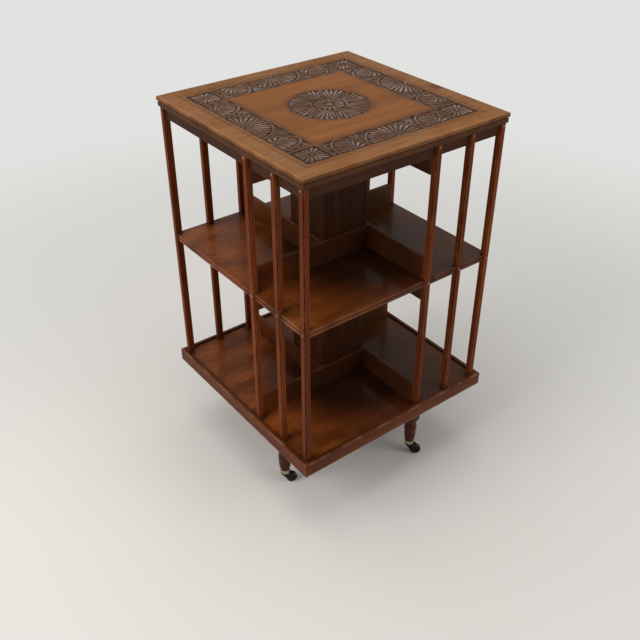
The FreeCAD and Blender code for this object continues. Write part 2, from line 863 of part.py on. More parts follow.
def castor_axle(side):
    body = new_body(f"castor_axle_{side}")
    shank = new_sketch(body, "XZ_Plane")
    circle(shank, S["castor_trail"], axle_high, S["axle_wide"])
    pad(body, shank, cheek_half * 2, middle=True)
    for side_of_fork in (cheek_half, -cheek_half):
        head = new_sketch(body, "XZ_Plane", side_of_fork)
        circle(head, S["castor_trail"], axle_high, S["axle_head"])
        pad(body, head, S["axle_head_high"], backwards=side_of_fork.value < 0)
    body.Placement = castor_placement(side)


def castor_wheel(side):
    """A thick wheel with a rounded tread and a shallow dish in each face."""
    body = new_body(f"castor_wheel_{side}")
    trail = S["castor_trail"]
    disc = new_sketch(body, "XZ_Plane")
    circle(disc, trail, axle_high, S["wheel_wide"])
    pad(body, disc, S["wheel_thick"], middle=True)
    fillet(body, lambda edge, middle: near(edge_radius(edge), axle_high), S["wheel_round"])
    for face in (S["wheel_thick"] / 2, -(S["wheel_thick"] / 2)):
        dish = new_sketch(body, "XZ_Plane", face)
        circle(dish, trail, axle_high, S["wheel_wide"] - (S["wheel_round"] + S["wheel_rim"]) * 2)
        circle(dish, trail, axle_high, S["wheel_hub"])
        pocket(body, dish, S["wheel_dish"], backwards=face.value < 0)
    bore = new_sketch(body, "XZ_Plane")
    circle(bore, trail, axle_high, S["axle_wide"] + S["wheel_play"] * 2)
    pocket(body, bore, S["wheel_thick"], middle=True)
    body.Placement = castor_placement(side)


def build():
    top_board()
    mid_shelf()
    bottom_board()
    for side in SIDES:
        frieze_rail(side)
        plinth_rail(side)
        for name in SLAT_PLACES:
            slat(side, name)
        column_board(side, "upper", shelf_top, top_under)
        column_board(side, "lower", board_top, shelf_under)
    slat_pins()
    dividers_and_strips()
    pivot_plate()
    pivot_screws()
    guide_bush()
    cross_arm("cross_arm_lower", True)
    cross_arm("cross_arm_upper", False)
    post()
    pivot_pin()
    castor_cups()
    for side in SIDES:
        foot(side)
        castor_fork(side)
        castor_axle(side)
        castor_wheel(side)


def check():
    for thing in doc.Objects:
        if "Invalid" in thing.State or "Error" in thing.State:
            raise ValueError(f"{thing.Label} failed: {thing.State}")
    for body in subparts:
        if body.Shape.isNull() or not body.Shape.isValid():
            raise ValueError(f"{body.Label} has no valid shape")


def write():
    os.makedirs(OUT, exist_ok=True)
    for body in subparts:
        body.Shape.exportStep(os.path.join(OUT, f"{body.Label}.step"))
        print(body.Label, len(body.Shape.Solids), round(body.Shape.Volume, 1))


build()
doc.recompute()
check()
write()
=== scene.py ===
import math

import bmesh
import bpy
import numpy as np
from mathutils import Matrix, Vector


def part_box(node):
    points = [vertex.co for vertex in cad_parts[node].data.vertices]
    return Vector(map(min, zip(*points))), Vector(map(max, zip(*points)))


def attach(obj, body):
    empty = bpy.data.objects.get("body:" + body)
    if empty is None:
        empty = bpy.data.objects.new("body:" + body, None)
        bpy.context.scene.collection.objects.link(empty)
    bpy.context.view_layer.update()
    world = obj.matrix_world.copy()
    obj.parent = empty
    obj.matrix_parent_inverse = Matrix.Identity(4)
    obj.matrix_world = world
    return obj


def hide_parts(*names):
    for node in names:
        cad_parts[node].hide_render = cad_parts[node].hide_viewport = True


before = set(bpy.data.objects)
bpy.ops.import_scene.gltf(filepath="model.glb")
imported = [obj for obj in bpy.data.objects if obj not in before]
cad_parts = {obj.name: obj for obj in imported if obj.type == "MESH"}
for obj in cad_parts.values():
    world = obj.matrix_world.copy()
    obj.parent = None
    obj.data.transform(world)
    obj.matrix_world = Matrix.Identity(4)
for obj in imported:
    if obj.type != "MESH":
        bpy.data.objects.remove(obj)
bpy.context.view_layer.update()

MM = 0.001
SIDES = ("front", "right", "back", "left")
SLAT_NAMES = ("corner", "quarter", "middle")

chance = np.random.default_rng(7)


# Colours


def shade(red, green, blue):
    """A colour as it looks on a screen, 0 to 255, as the shader's linear numbers (sRGB's curve)."""
    linear = []
    for part in (red / 255, green / 255, blue / 255):
        linear.append(part / 12.92 if part < 0.04045 else ((part + 0.055) / 1.055) ** 2.4)
    return (*linear, 1.0)


# Shader sums


class Signal:
    """The output of a shader node. Sums on it add Math nodes."""

    def __init__(self, finish, socket):
        self.finish = finish
        self.socket = socket

    def math(self, operation, *values):
        sockets = dict(enumerate(values))
        return self.finish.node("Math", {"operation": operation}, sockets)

    def __add__(self, other):
        return self.math("ADD", self, other)

    __radd__ = __add__

    def __sub__(self, other):
        return self.math("SUBTRACT", self, other)

    def __rsub__(self, other):
        return self.math("SUBTRACT", other, self)

    def __mul__(self, other):
        return self.math("MULTIPLY", self, other)

    __rmul__ = __mul__

    def either(self, other):
        """The greater of the two."""
        return self.math("MAXIMUM", self, other)

    def between(self, low, high):
        """0 below low and 1 above high, smooth in between."""
        settings = {"interpolation_type": "SMOOTHSTEP"}
        sockets = {"Value": self, "From Min": low, "From Max": high}
        return self.finish.node("MapRange", settings, sockets)


class Finish:
    """A material, or the world, while its nodes are laid."""

    def __init__(self, owner):
        owner.use_nodes = True
        self.owner = owner
        self.tree = owner.node_tree
        self.tree.nodes.clear()

    def node(self, kind, settings=None, sockets=None, out=0):
        """A node of this kind: first its settings, then the values or links of its sockets."""
        node = self.tree.nodes.new("ShaderNode" + kind)
        for name, value in (settings or {}).items():
            setattr(node, name, value)
        for key, value in (sockets or {}).items():
            socket = node.inputs[key]
            if isinstance(value, Signal):
                self.tree.links.new(value.socket, socket)
            else:
                socket.default_value = value
        return Signal(self, node.outputs[out]) if len(node.outputs) else None

    def attribute(self, name, out="Fac"):
        """A layer of numbers that the piece's mesh carries."""
        return self.node("Attribute", {"attribute_name": name}, out=out)

    def place(self):
        return self.node("TexCoord", out="Object")

    def stretch(self, vector, factors):
        return self.node("VectorMath", {"operation": "MULTIPLY"}, {0: vector, 1: factors})

    def distance(self, vector, point):
        return self.node("VectorMath", {"operation": "DISTANCE"}, {0: vector, 1: point}, out=1)

    def noise(self, vector, factors, detail=3.0, roughness=0.55, distortion=0.0):
        """Noise of about 0 to 1, with so many waves a metre along each axis."""
        sockets = {"Vector": self.stretch(vector, factors), "Scale": 1.0, "Detail": detail,
                   "Roughness": roughness, "Distortion": distortion}
        return self.node("TexNoise", None, sockets)

    def mix(self, share, first, second, blend="MIX"):
        """A colour that goes from the first to the second as the share goes from 0 to 1."""
        settings = {"data_type": "RGBA", "blend_type": blend}
        # the Mix node's colours are its sockets 6 and 7, and its mixed colour is its output 2
        return self.node("Mix", settings, {0: share, 6: first, 7: second}, out=2)

    def bump(self, height, strength, distance):
        sockets = {"Strength": strength, "Distance": distance, "Height": height}
        return self.node("Bump", None, sockets)

    def surface(self, **sockets):
        """Ends the material with its shader; a socket's name has _ for each space."""
        named = {name.replace("_", " "): value for name, value in sockets.items()}
        shader = self.node("BsdfPrincipled", None, named)
        self.node("OutputMaterial", None, {"Surface": shader})
        return self.owner


def new_finish(name):
    return Finish(bpy.data.materials.new(name))


# Wood. Noise runs along each piece's own grain, so its waves a metre are given along the grain and
# then twice across it. Lengths are in metres.

PORE_DEPTH = 0.35

# Old polish and painted light in the compartments go by the place in plan: where the dark of old
# polish and painted shade is deepest, how far off that point the dark ends, how far off the painted
# light begins, over which stretch from left to right that painted light dies down, and over which
# stretch the painted reflection on the right-hand side begins.
DARKEST = (0.03, -0.055, 0)
DARK_ENDS = (0.10, 0.21)
GLOW_BEGINS = (0.16, 0.25)
GLOW_DIES = (-0.20, 0.06)
REFLECTION_BEGINS = (0.045, 0.085)

# A small red stain on the top, by its right-hand edge: its place and its soft rim.
STAIN_AT = (0.229, -0.052, 0.812)
STAIN_RIM = (0.010, 0.030)


def polish_and_painted_light(finish, grain, patch, colour, inside, glow):
    """Polish and painted light by place: dark by the column, part old polish and part painted
    shade;
    painted light in blotches on the left; a painted grey reflection on the right; painted shade
    about the feet of the slats.
    """
    place = finish.place()
    out = finish.distance(finish.stretch(place, (1, 1, 0)), DARKEST) + (patch - 0.5) * 0.12
    across = finish.node("SeparateXYZ", None, {0: place})
    # painted reflection: the right-hand side greyed, as a dull wall mirrored in the polish
    painted_reflection = across.between(*REFLECTION_BEGINS)
    # darker by the column: partly old polish, partly painted shade
    dark = (1 - out.between(*DARK_ENDS)) * (0.9 - painted_reflection * 0.5)
    blotch = finish.noise(grain, (8, 13, 13), 4, 0.55).between(0.34, 0.64)
    # painted light from the left, strongest at the left and dying down to the right
    light_from_left = 1 - across.between(*GLOW_DIES) * 0.65
    # painted shade about the feet of the slats
    shade_at_feet = finish.attribute("foot") * finish.noise(grain, (40, 50, 50), 4).between(0.18, 0.48)
    colour = finish.mix(dark, colour, inside)
    colour = finish.mix(out.between(*GLOW_BEGINS) * blotch * light_from_left * 0.9, colour, glow)
    colour = finish.mix(painted_reflection * 0.55, colour, shade(66, 45, 26))
    return finish.mix(shade_at_feet, colour, shade(20, 9, 4))


def wood(name, deep, middle, pale, gloss=0.3, coat=0.4, coat_gloss=0.12, worn=None, wear=0.5,
         soil=0.35, line=None, shine=0.08, inside=None, glow=None):
    """Polished mahogany: soft bands and fibres along the grain, pores, edges rubbed by hands.

    The line colour goes where a piece's mesh marks a line: dark joints and quirks, and painted
    shade in the slats' rebates and on the plinth's inner wall. Pieces in the compartments have two
    more
    colours: inside, for the dark by the column, part old polish and part painted shade, and glow,
    for painted light in blotches away from it.
    """
    finish = new_finish(name)
    grain = finish.attribute("grain", out="Vector")
    band = finish.noise(grain, (1.3, 15, 15), 3, 0.5, 0.4)
    streak = finish.noise(grain, (3.5, 75, 75), 4, 0.55)
    fibre = finish.noise(grain, (16, 520, 520), 3)
    patch = finish.noise(grain, (4, 7, 7), 3)
    smear = finish.noise(grain, (14, 22, 22), 4)
    pores = finish.noise(grain, (60, 1500, 1500), 2).between(0.60, 0.72)
    tone = band * 0.42 + streak * 0.34 + fibre * 0.24
    colour = finish.mix(tone.between(0.26, 0.58), deep, middle)
    colour = finish.mix(tone.between(0.48, 0.76), colour, pale)
    colour = finish.mix(patch.between(0.40, 0.75) * soil, colour, deep)
    colour = finish.mix(pores * PORE_DEPTH, colour, deep, "MULTIPLY")
    # painted shade by the column, painted light at the left, painted reflection at the right
    if inside:
        colour = polish_and_painted_light(finish, grain, patch, colour, inside, glow)
    touched = finish.noise(grain, (30, 30, 30), 4).between(0.38, 0.66)
    rubbed = finish.attribute("edge") * touched * wear
    colour = finish.mix(rubbed, colour, worn or pale)
    # dark lines: joints and quirks, and painted shade in rebates and on the plinth's inner wall
    if line:
        colour = finish.mix(finish.attribute("line").between(0.15, 0.7), colour, line)
    roughness = gloss + smear * 0.18 + rubbed * 0.12 + pores * 0.08
    relief = fibre * 0.4 - pores * 0.8 + streak * 0.3
    return finish.surface(Base_Color=colour, Roughness=roughness,
                          Normal=finish.bump(relief, 0.2, 0.0003),
                          Coat_Weight=coat - smear * coat * 0.4, Coat_Roughness=coat_gloss,
                          Specular_IOR_Level=shine)


def waxed_field(finish, grain, tone, streak, pores):
    """The top's plain wood: flecks, a margin worn by handling and greyed by a painted sheen, dirt
    beside the carving and the red stain.
    """
    patch = finish.noise(grain, (5, 6, 6), 3).between(0.42, 0.75)
    fleck = finish.noise(grain, (26, 300, 300), 2).between(0.55, 0.75)
    margin = finish.attribute("margin")
    handled_with_sheen = margin * finish.noise(grain, (9, 12, 12), 3).between(0.25, 0.62)
    strokes = margin * finish.noise(grain, (20, 210, 210), 2).between(0.50, 0.68)
    grime = finish.attribute("grime") * finish.noise(grain, (45, 45, 45), 3).between(0.10, 0.60)
    from_stain = finish.distance(finish.place(), STAIN_AT) + streak * 0.012
    colour = finish.mix(tone.between(0.26, 0.58), shade(98, 57, 24), shade(137, 84, 38))
    colour = finish.mix(tone.between(0.50, 0.78), colour, shade(160, 104, 54))
    colour = finish.mix(patch * 0.5, colour, shade(115, 64, 27))
    colour = finish.mix(fleck * 0.32, colour, shade(84, 48, 24))
    colour = finish.mix(pores * 0.4, colour, shade(96, 58, 34), "MULTIPLY")
    # the margin lighter and greyer: wear of handling, and a painted sheen of grazing reflection
    colour = finish.mix(handled_with_sheen * 0.6, colour, shade(142, 104, 68))
    colour = finish.mix(strokes * 0.4, colour, shade(88, 54, 30))
    colour = finish.mix(grime * 0.72, colour, shade(72, 45, 28))
    return finish.mix((1 - from_stain.between(*STAIN_RIM)) * 0.75, colour, shade(84, 24, 12))


def cut_wood(finish, streak, crest, hollow, bright):
    """The carving's greyer wood: painted shade in its cuts, lighter on its crests with wear and
    painted light, and painted highlights on some crests.
    """
    colour = finish.mix(streak.between(0.35, 0.65), shade(70, 44, 28), shade(96, 66, 46))
    # painted shade in the cuts and hollows
    colour = finish.mix(hollow.between(0.25, 0.85), colour, shade(40, 24, 13))
    # crests lighter: partly rubbed wear, partly painted light on raised parts
    colour = finish.mix(crest.between(0.20, 0.80) * 0.7, colour, shade(116, 82, 58))
    # painted highlights: pale glints on some crests
    return finish.mix(crest.between(0.50, 0.90) * bright * 0.36, colour, shade(182, 152, 140))


def carved_wood():
    """The top: waxed field, carving, darker moulded sides, painted shade in its cut lines and
    quirk, and rubbed edges with a painted highlight along the arris.
    """
    finish = new_finish("carved_top_wood")
    grain = finish.attribute("grain", out="Vector")
    carved, crest, hollow, side, edge = (
        finish.attribute(name) for name in ("carved", "crest", "hollow", "side", "edge"))
    band = finish.noise(grain, (1.1, 13, 13), 3, 0.5, 0.5)
    streak = finish.noise(grain, (3, 70, 70), 4, 0.55)
    fibre = finish.noise(grain, (18, 480, 480), 3)
    smear = finish.noise(grain, (16, 20, 20), 4)
    pores = finish.noise(grain, (55, 1400, 1400), 2).between(0.60, 0.72)
    bright = finish.noise(grain, (30, 30, 30), 3).between(0.44, 0.62)
    touched = finish.noise(grain, (26, 26, 26), 4).between(0.34, 0.62)
    tone = band * 0.40 + streak * 0.34 + fibre * 0.26
    colour = waxed_field(finish, grain, tone, streak, pores)
    colour = finish.mix(carved, colour, cut_wood(finish, streak, crest, hollow, bright))
    moulded = finish.mix(tone.between(0.3, 0.7), shade(42, 20, 8), shade(76, 40, 18))
    colour = finish.mix(side * 0.92, colour, moulded)
    # painted shade in the margin's cut lines, the quirk and under the band
    colour = finish.mix(hollow * (1 - carved) * 0.8, colour, shade(44, 23, 11))
    # the arris: rubbed wear and a painted highlight, never wholly gone
    colour = finish.mix(edge * (touched * 0.6 + 0.4) * 0.7, colour, shade(166, 112, 72))
    roughness = 0.42 + smear * 0.16 - carved * 0.08 + hollow * 0.15
    relief = fibre * 0.5 - pores * 0.8 + streak * 0.3
    return finish.surface(Base_Color=colour, Roughness=roughness,
                          Normal=finish.bump(relief, 0.22, 0.0003),
                          Coat_Weight=carved * 0.10 + crest * bright * 0.6, Coat_Roughness=0.13,
                          Specular_IOR_Level=0.08)


# Metal


def metal(name, clean, dull, stain, roughness, metallic=1.0):
    """Old metal: duller and stained in patches, with fine scratches."""
    finish = new_finish(name)
    spot = finish.place()
    patch = finish.noise(spot, (160, 160, 160), 4).between(0.38, 0.66)
    speck = finish.noise(spot, (700, 700, 700), 3).between(0.56, 0.72)
    scratches = finish.noise(spot, (2600, 300, 300), 2)
    colour = finish.mix(patch, clean, dull)
    colour = finish.mix(speck * 0.6, colour, stain)
    return finish.surface(Base_Color=colour,
                          Roughness=roughness + patch * 0.16 + speck * 0.2 + scratches * 0.08,
                          Metallic=metallic - speck * 0.4 * metallic,
                          Normal=finish.bump(scratches * 0.2 + speck * 0.5, 0.3, 0.0001))


top_wood = carved_wood()
# its line colour is painted shade on the plinth's inner wall and top
rail_wood = wood("rail_wood", shade(60, 26, 9), shade(100, 49, 20), shade(124, 66, 30),
                 worn=shade(150, 106, 78), gloss=0.34, coat=0.03, coat_gloss=0.2,
                 line=shade(22, 10, 5))
# a darker copy of the rail wood: painted shade under the top's overhang
shaded_frieze_wood = wood("shaded_frieze_wood", shade(38, 18, 8), shade(66, 34, 16), shade(86, 48, 24),
                   worn=shade(126, 80, 50), gloss=0.4, coat=0.02, coat_gloss=0.2)
# its line colour is painted shade in the inner corners of the rebates
slat_wood = wood("slat_wood", shade(70, 30, 12), shade(114, 53, 21), shade(141, 70, 32),
                 worn=shade(160, 96, 60), wear=0.7, gloss=0.34, coat=0.03, coat_gloss=0.15,
                 line=shade(34, 7, 2), shine=0.05)
# inside: old polish and painted shade by the column; glow: painted light
shelf_wood = wood("shelf_wood", shade(60, 26, 9), shade(102, 50, 19), shade(132, 72, 31),
                  worn=shade(134, 82, 50), wear=0.4, gloss=0.28, coat=0.10, coat_gloss=0.05,
                  soil=0.6, line=shade(20, 9, 4), inside=shade(31, 16, 8), glow=shade(150, 82, 36))
# inside: old polish and painted shade by the column; glow: painted light
divider_wood = wood("divider_wood", shade(42, 19, 8), shade(78, 37, 15), shade(102, 51, 22),
                    worn=shade(122, 80, 50), gloss=0.36, coat=0.03, coat_gloss=0.2,
                    inside=shade(60, 32, 16), glow=shade(114, 54, 21))
column_wood = wood("column_wood", shade(30, 13, 6), shade(56, 28, 13), shade(82, 46, 23),
                   worn=shade(88, 50, 28), gloss=0.4, coat=0.02, coat_gloss=0.2)
foot_wood = wood("foot_wood", shade(34, 10, 4), shade(76, 26, 11), shade(104, 42, 20),
                 worn=shade(140, 76, 46), gloss=0.22, coat=0.2, coat_gloss=0.05)
stand_wood = wood("stand_wood", shade(66, 42, 26), shade(104, 72, 46), shade(132, 96, 62),
                  gloss=0.55, coat=0.0, wear=0.3)

pin_brass = metal("pin_brass", shade(150, 126, 100), shade(108, 86, 66), shade(56, 40, 28), 0.28)
cup_brass = metal("cup_brass", shade(196, 184, 160), shade(150, 134, 106), shade(84, 66, 46), 0.18)
bush_brass = metal("bush_brass", shade(196, 160, 96), shade(150, 116, 62), shade(60, 44, 26), 0.3)
pivot_steel = metal("pivot_steel", shade(150, 148, 144), shade(110, 106, 100), shade(60, 46, 36),
                    0.34)
castor_iron = metal("castor_iron", shade(42, 31, 27), shade(24, 18, 16), shade(74, 50, 38), 0.24,
                    metallic=0.7)
wheel_iron = metal("wheel_iron", shade(46, 33, 28), shade(26, 19, 17), shade(84, 60, 46), 0.2,
                   metallic=0.5)


# Forms


def new_piece(name, mesh, body, finish, slot, *nodes):
    """Puts a mesh in the scene as a piece that rides on a body and stands for CAD nodes."""
    piece = bpy.data.objects.new(name, mesh)
    bpy.context.scene.collection.objects.link(piece)
    mesh.materials.clear()
    mesh.materials.append(finish)
    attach(piece, body)
    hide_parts(*nodes)
    return piece


def float_layer(mesh, name, values):
    """Gives each point of a mesh a number, by which its finish changes from place to place."""
    layer = mesh.attributes.get(name) or mesh.attributes.new(name, "FLOAT", "POINT")
    layer.data.foreach_set("value", np.asarray(values, np.float32).ravel())


def loose_parts(mesh):
    """The vertex numbers of each loose part of a mesh."""
    count = len(mesh.vertices)
    ends = np.zeros(len(mesh.edges) * 2, np.int32)
    mesh.edges.foreach_get("vertices", ends)
    ends = ends.reshape(-1, 2)
    label = np.arange(count)
    while True:
        low = np.minimum(label[ends[:, 0]], label[ends[:, 1]])
        before = label.copy()
        np.minimum.at(label, ends[:, 0], low)
        np.minimum.at(label, ends[:, 1], low)
        label = label[label]
        if (label == before).all():
            return [np.flatnonzero(label == value) for value in np.unique(label)]


# Each part's grain is shifted by up to so many metres each way, so that no two look alike.
GRAIN_SHIFT = 9


def lay_grain(mesh, along=None):
    """Gives each loose part its own run of grain, along its longest side or the axis named."""
    places = np.zeros(len(mesh.vertices) * 3, np.float32)
    mesh.vertices.foreach_get("co", places)
    places = places.reshape(-1, 3)
    grain = np.zeros_like(places)
    for part in loose_parts(mesh):
        corner = places[part]
        size = corner.max(0) - corner.min(0)
        first = int(size.argmax()) if along is None else along
        order = [first] + [axis for axis in range(3) if axis != first]
        grain[part] = corner[:, order] + chance.uniform(-GRAIN_SHIFT, GRAIN_SHIFT, 3)
    layer = mesh.attributes.new("grain", "FLOAT_VECTOR", "POINT")
    layer.data.foreach_set("vector", grain.ravel())


WELD = 0.01 * MM
FLAT = math.radians(0.6)
SHARP = math.radians(28)
# A face takes a rubbed band along its edges if its width is over so many bands, and its area over
# that of a square with a side of so many bands.
LEAST_WIDE = 1.6
LEAST_SIDE = 6


def round_edges(form, edges, radius, segments):
    bmesh.ops.bevel(form, geom=edges, offset=radius, segments=segments, profile=0.5,
                    affect="EDGES", clamp_overlap=True)


def sharp_edges(form):
    return [edge for edge in form.edges if edge.calc_face_angle(0) > SHARP]


def mark_rubbed_bands(form, rub):
    """Marks a form's arrises as rubbed, with a band beside them on each broad face."""
    edge = form.verts.layers.float.new("edge")
    for vert in form.verts:
        vert[edge] = 1.0
    broad = [face for face in form.faces
             if face.calc_area() > LEAST_WIDE * rub * face.calc_perimeter() / 2
             and face.calc_area() > (LEAST_SIDE * rub) ** 2]
    if broad:
        bmesh.ops.inset_region(form, faces=broad, thickness=rub, use_even_offset=True,
                               use_boundary=True)
        for vert in {vert for face in broad for vert in face.verts}:
            vert[edge] = 0.0


def dressed_mesh(node, round_off, rub, cuts=(), bead=None, bead_round=0.0):
    """A CAD node's form with its arrises rounded, and a band beside them where they are rubbed.

    A bead is a test of an edge: those that pass are rounded by their own radius first.
    """
    form = bmesh.new()
    form.from_mesh(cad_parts[node].data)
    bmesh.ops.remove_doubles(form, verts=form.verts, dist=WELD)
    bmesh.ops.dissolve_limit(form, angle_limit=FLAT, verts=form.verts, edges=form.edges)
    for place in cuts:
        part_boards(form, place)
    if bead:
        beads = [edge for edge in sharp_edges(form) if bead(edge)]
        round_edges(form, beads, bead_round, segments=5)
    round_edges(form, sharp_edges(form), round_off, segments=2)
    mark_rubbed_bands(form, rub)
    for face in form.faces:
        face.smooth = True
    mesh = bpy.data.meshes.new(node + "_form")
    form.to_mesh(mesh)
    form.free()
    return mesh


def part_boards(form, place):
    """Splits a form along a plane across Y, as where two boards meet."""
    everything = list(form.verts) + list(form.edges) + list(form.faces)
    cut = bmesh.ops.bisect_plane(form, geom=everything, plane_co=(0, place, 0), plane_no=(0, 1, 0))
    seam = [item for item in cut["geom_cut"] if isinstance(item, bmesh.types.BMEdge)]
    split = bmesh.ops.split_edges(form, edges=seam)["edges"]
    for side in (-1, 1):
        rim = [edge for edge in split if edge.is_valid and edge.is_boundary
               and side * (edge.link_faces[0].calc_center_median().y - place) > 0]
        bmesh.ops.contextual_create(form, geom=rim)
    bmesh.ops.recalc_face_normals(form, faces=form.faces)


def dress(node, body, finish, slot, round_off=0.6 * MM, rub=1.4 * MM, **shaping):
    """A CAD node's own form, dressed and finished, as the piece that is seen."""
    mesh = dressed_mesh(node, round_off, rub, **shaping)
    lay_grain(mesh)
    return new_piece(node + "_finished", mesh, body, finish, slot, node)


REBATE = 2 * MM
# Points count as in a rebate's corner when they are no further off it than this.
NEAR_CORNER = REBATE * 0.45


def mark_cut_lines(mesh, low, high):
    """Marks the inner corners of a slat's two rebates, which hold a dark line of painted shade."""
    places = np.array([vert.co for vert in mesh.vertices])
    middle = (np.array(low) + np.array(high)) / 2
    out_axis = int(np.abs(middle[:2]).argmax())
    side_axis = 1 - out_axis
    outer_face = max(abs(low[out_axis]), abs(high[out_axis]))
    half_wide = (high[side_axis] - low[side_axis]) / 2
    in_from_face = np.abs(np.abs(places[:, out_axis]) - outer_face)
    in_from_side = half_wide - np.abs(places[:, side_axis] - middle[side_axis])
    at_depth = np.abs(in_from_face - REBATE) < NEAR_CORNER
    at_width = np.abs(in_from_side - REBATE) < NEAR_CORNER
    float_layer(mesh, "line", at_depth & at_width)


def mark_line(piece, test):
    """Marks the points of a piece that pass a test of their x, y and z, in millimetres."""
    places = np.array([vert.co for vert in piece.data.vertices]) / MM
    float_layer(piece.data, "line", test(*places.T))


# The grid cut into a shelf to carry the painted shade about the slats' feet, and the reach of that
# shade, in millimetres.
FEET_GRID = range(-230, 231, 10)
FEET_REACH = 19


def mark_shade_at_slat_feet(piece):
    """Cuts a shelf into a grid and marks painted shade about the feet of the slats."""
    form = bmesh.new()
    form.from_mesh(piece.data)
    for axis in (0, 1):
        for place in FEET_GRID:
            point, normal = Vector(), Vector()
            point[axis], normal[axis] = place * MM, 1
            everything = list(form.verts) + list(form.edges) + list(form.faces)
            bmesh.ops.bisect_plane(form, geom=everything, plane_co=point, plane_no=normal,
                                   dist=WELD)
    form.to_mesh(piece.data)
    form.free()
    places = np.array([vert.co for vert in piece.data.vertices]) / MM
    dark = np.zeros(len(places))
    for side in SIDES:
        for name in SLAT_NAMES:
            low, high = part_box(f"slat_{side}_{name}")
            off = places[:, :2] - np.array((low + high) / 2)[:2] / MM
            dark = np.maximum(dark, np.exp(-(np.hypot(*off.T) / FEET_REACH) ** 2))
    float_layer(piece.data, "foot", dark)


TURNED_SIDES = 48
# A ring is rubbed where it swells over the mean of so many rings each way, and wholly so at so many
# millimetres.
SWELL_RINGS = 3
SWELL_FULL = 0.8


def turned(node, profile, centre, body, finish, slot):
    """A piece turned on a lathe: rings of radius and height about an upright line."""
    rings, count = len(profile), TURNED_SIDES
    angles = np.arange(count) * 2 * math.pi / count
    places = [(centre[0] + radius * MM * math.cos(a), centre[1] + radius * MM * math.sin(a),
               level * MM)
              for radius, level in profile for a in angles]
    faces = [(k * count + n, k * count + (n + 1) % count,
              (k + 1) * count + (n + 1) % count, (k + 1) * count + n)
             for k in range(rings - 1) for n in range(count)]
    faces += [tuple(reversed(range(count))), tuple(range((rings - 1) * count, rings * count))]
    mesh = bpy.data.meshes.new(node + "_form")
    mesh.from_pydata(places, [], faces)
    mesh.polygons.foreach_set("use_smooth", np.ones(len(mesh.polygons), bool))
    radii = np.array([radius for radius, level in profile])
    window = 2 * SWELL_RINGS + 1
    mean = np.convolve(np.pad(radii, SWELL_RINGS, "edge"), np.ones(window) / window, "valid")
    float_layer(mesh, "edge", np.repeat(np.clip((radii - mean) / SWELL_FULL, 0, 1), count))
    lay_grain(mesh, along=2)
    new_piece(node + "_finished", mesh, body, finish, slot, node)


# Carved top. Its main forms follow the solid's: a border of sunk panels with shells, a flower in
# each corner, and a medallion of eight petals. Lengths are in millimetres, and heights go from 0 at
# the ground of the carving to 1 at the face.

top_low, top_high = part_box("top_board")
TOP_HALF = top_high.x / MM
TOP_FACE = top_high.z / MM
TOP_UNDER = top_low.z / MM
# How deep the carving is, and the step of the grid that it is laid on.
RELIEF = 2.2
GRID_STEP = 1.0

# The border: half the side of its square, its width, and the plain rim of its panels. A side panel:
# half its length, and its depth.
CARVED_OUT = 199
BAND_WIDE = 59
PANEL_RIM = 2.5
PANEL_HALF = 137.5
PANEL_DEEP = 54

# Shells, as half width and height, with their ribs and the radius of the hub.
WIDE_SHELL = (PANEL_HALF * 0.41, PANEL_DEEP * 0.95, 7, 6)
SMALL_SHELL = (PANEL_HALF * 0.2, PANEL_DEEP * 0.9, 5, 4.5)
SMALL_SHELL_AT = PANEL_HALF * 0.705
# How much wider and higher the arch over a shell is, and half the width of its band.
WIDE_ARCH = (4.5, 1.5, 1.9)
SMALL_ARCH = (4, 4, 1.8)
# Ground further than this outside an arch is free for rays and leaves.
ARCH_CLEAR = 2
RAYS = 11
# Three-ribbed leaves between the arches: place along the side, half width and length.
LEAVES = ((63.5, 9, 19), (132, 6, 20))

# The corner flower: its short and long petals, its boss, and its cut about the boss.
SHORT_PETAL = PANEL_DEEP * 0.47
LONG_PETAL = PANEL_DEEP * 0.58
CORNER_BOSS = 4.4
CORNER_CUT = 6

# The medallion: its radius, the petals' half width by how far out they are (both as shares of the
# radius), how far out their ribs begin, the ring inside them, and the flower in the middle.
MEDALLION = 78
PETAL_OUT = (0.46, 0.50, 0.62, 0.80, 0.90, 0.96, 0.99, 1.00)
PETAL_WIDE = (0.00, 0.13, 0.21, 0.29, 0.30, 0.25, 0.15, 0.00)
RIBS_BEGIN = 0.36 * MEDALLION
RIB_SPAN = math.radians(100)
RING = 35
FLOWER = 32
FLOWER_BOSS = 9.4

# About a hub or boss the wood is cut down to this height, out to so many times its radius.
CUT_HIGH = 0.2
CUT_REACH = 1.25


def step(value, low, high):
    """0 below low and 1 above high, smooth in between."""
    t = np.clip((value - low) / (high - low), 0, 1)
    return t * t * (3 - 2 * t)


def ridge(off, half):
    """A rounded ridge, by how far off its middle line a point is."""
    return np.clip(1 - (off / half) ** 2, 0, 1)


def dome(u, v, radius):
    return np.sqrt(np.clip(1 - (np.hypot(u, v) / radius) ** 2, 0, 1))


def lobes(angle, count, span):
    """How far an angle is from the middle of its lobe, -1 to 1, with so many over the span."""
    turns = angle / span * count
    return 2 * (turns - np.floor(turns)) - 1


def rib(off):
    """Across one rib, -1 to 1: two narrow rounds with a cut between and a deeper cut beside."""
    return 1 - 0.70 * np.abs(2 * np.abs(off) - 1) ** 2.2 - 0.28 * np.abs(off) ** 6


def petals(off, size, reach, soft_from, low, swell):
    """Ribs with a rounded back that end softly at their reach, by how far out a point is."""
    ribs = rib(off) * (1 - step(size, reach * soft_from, reach))
    return ribs * (low + swell * np.sin(math.pi * np.clip(size / reach, 0, 1)))


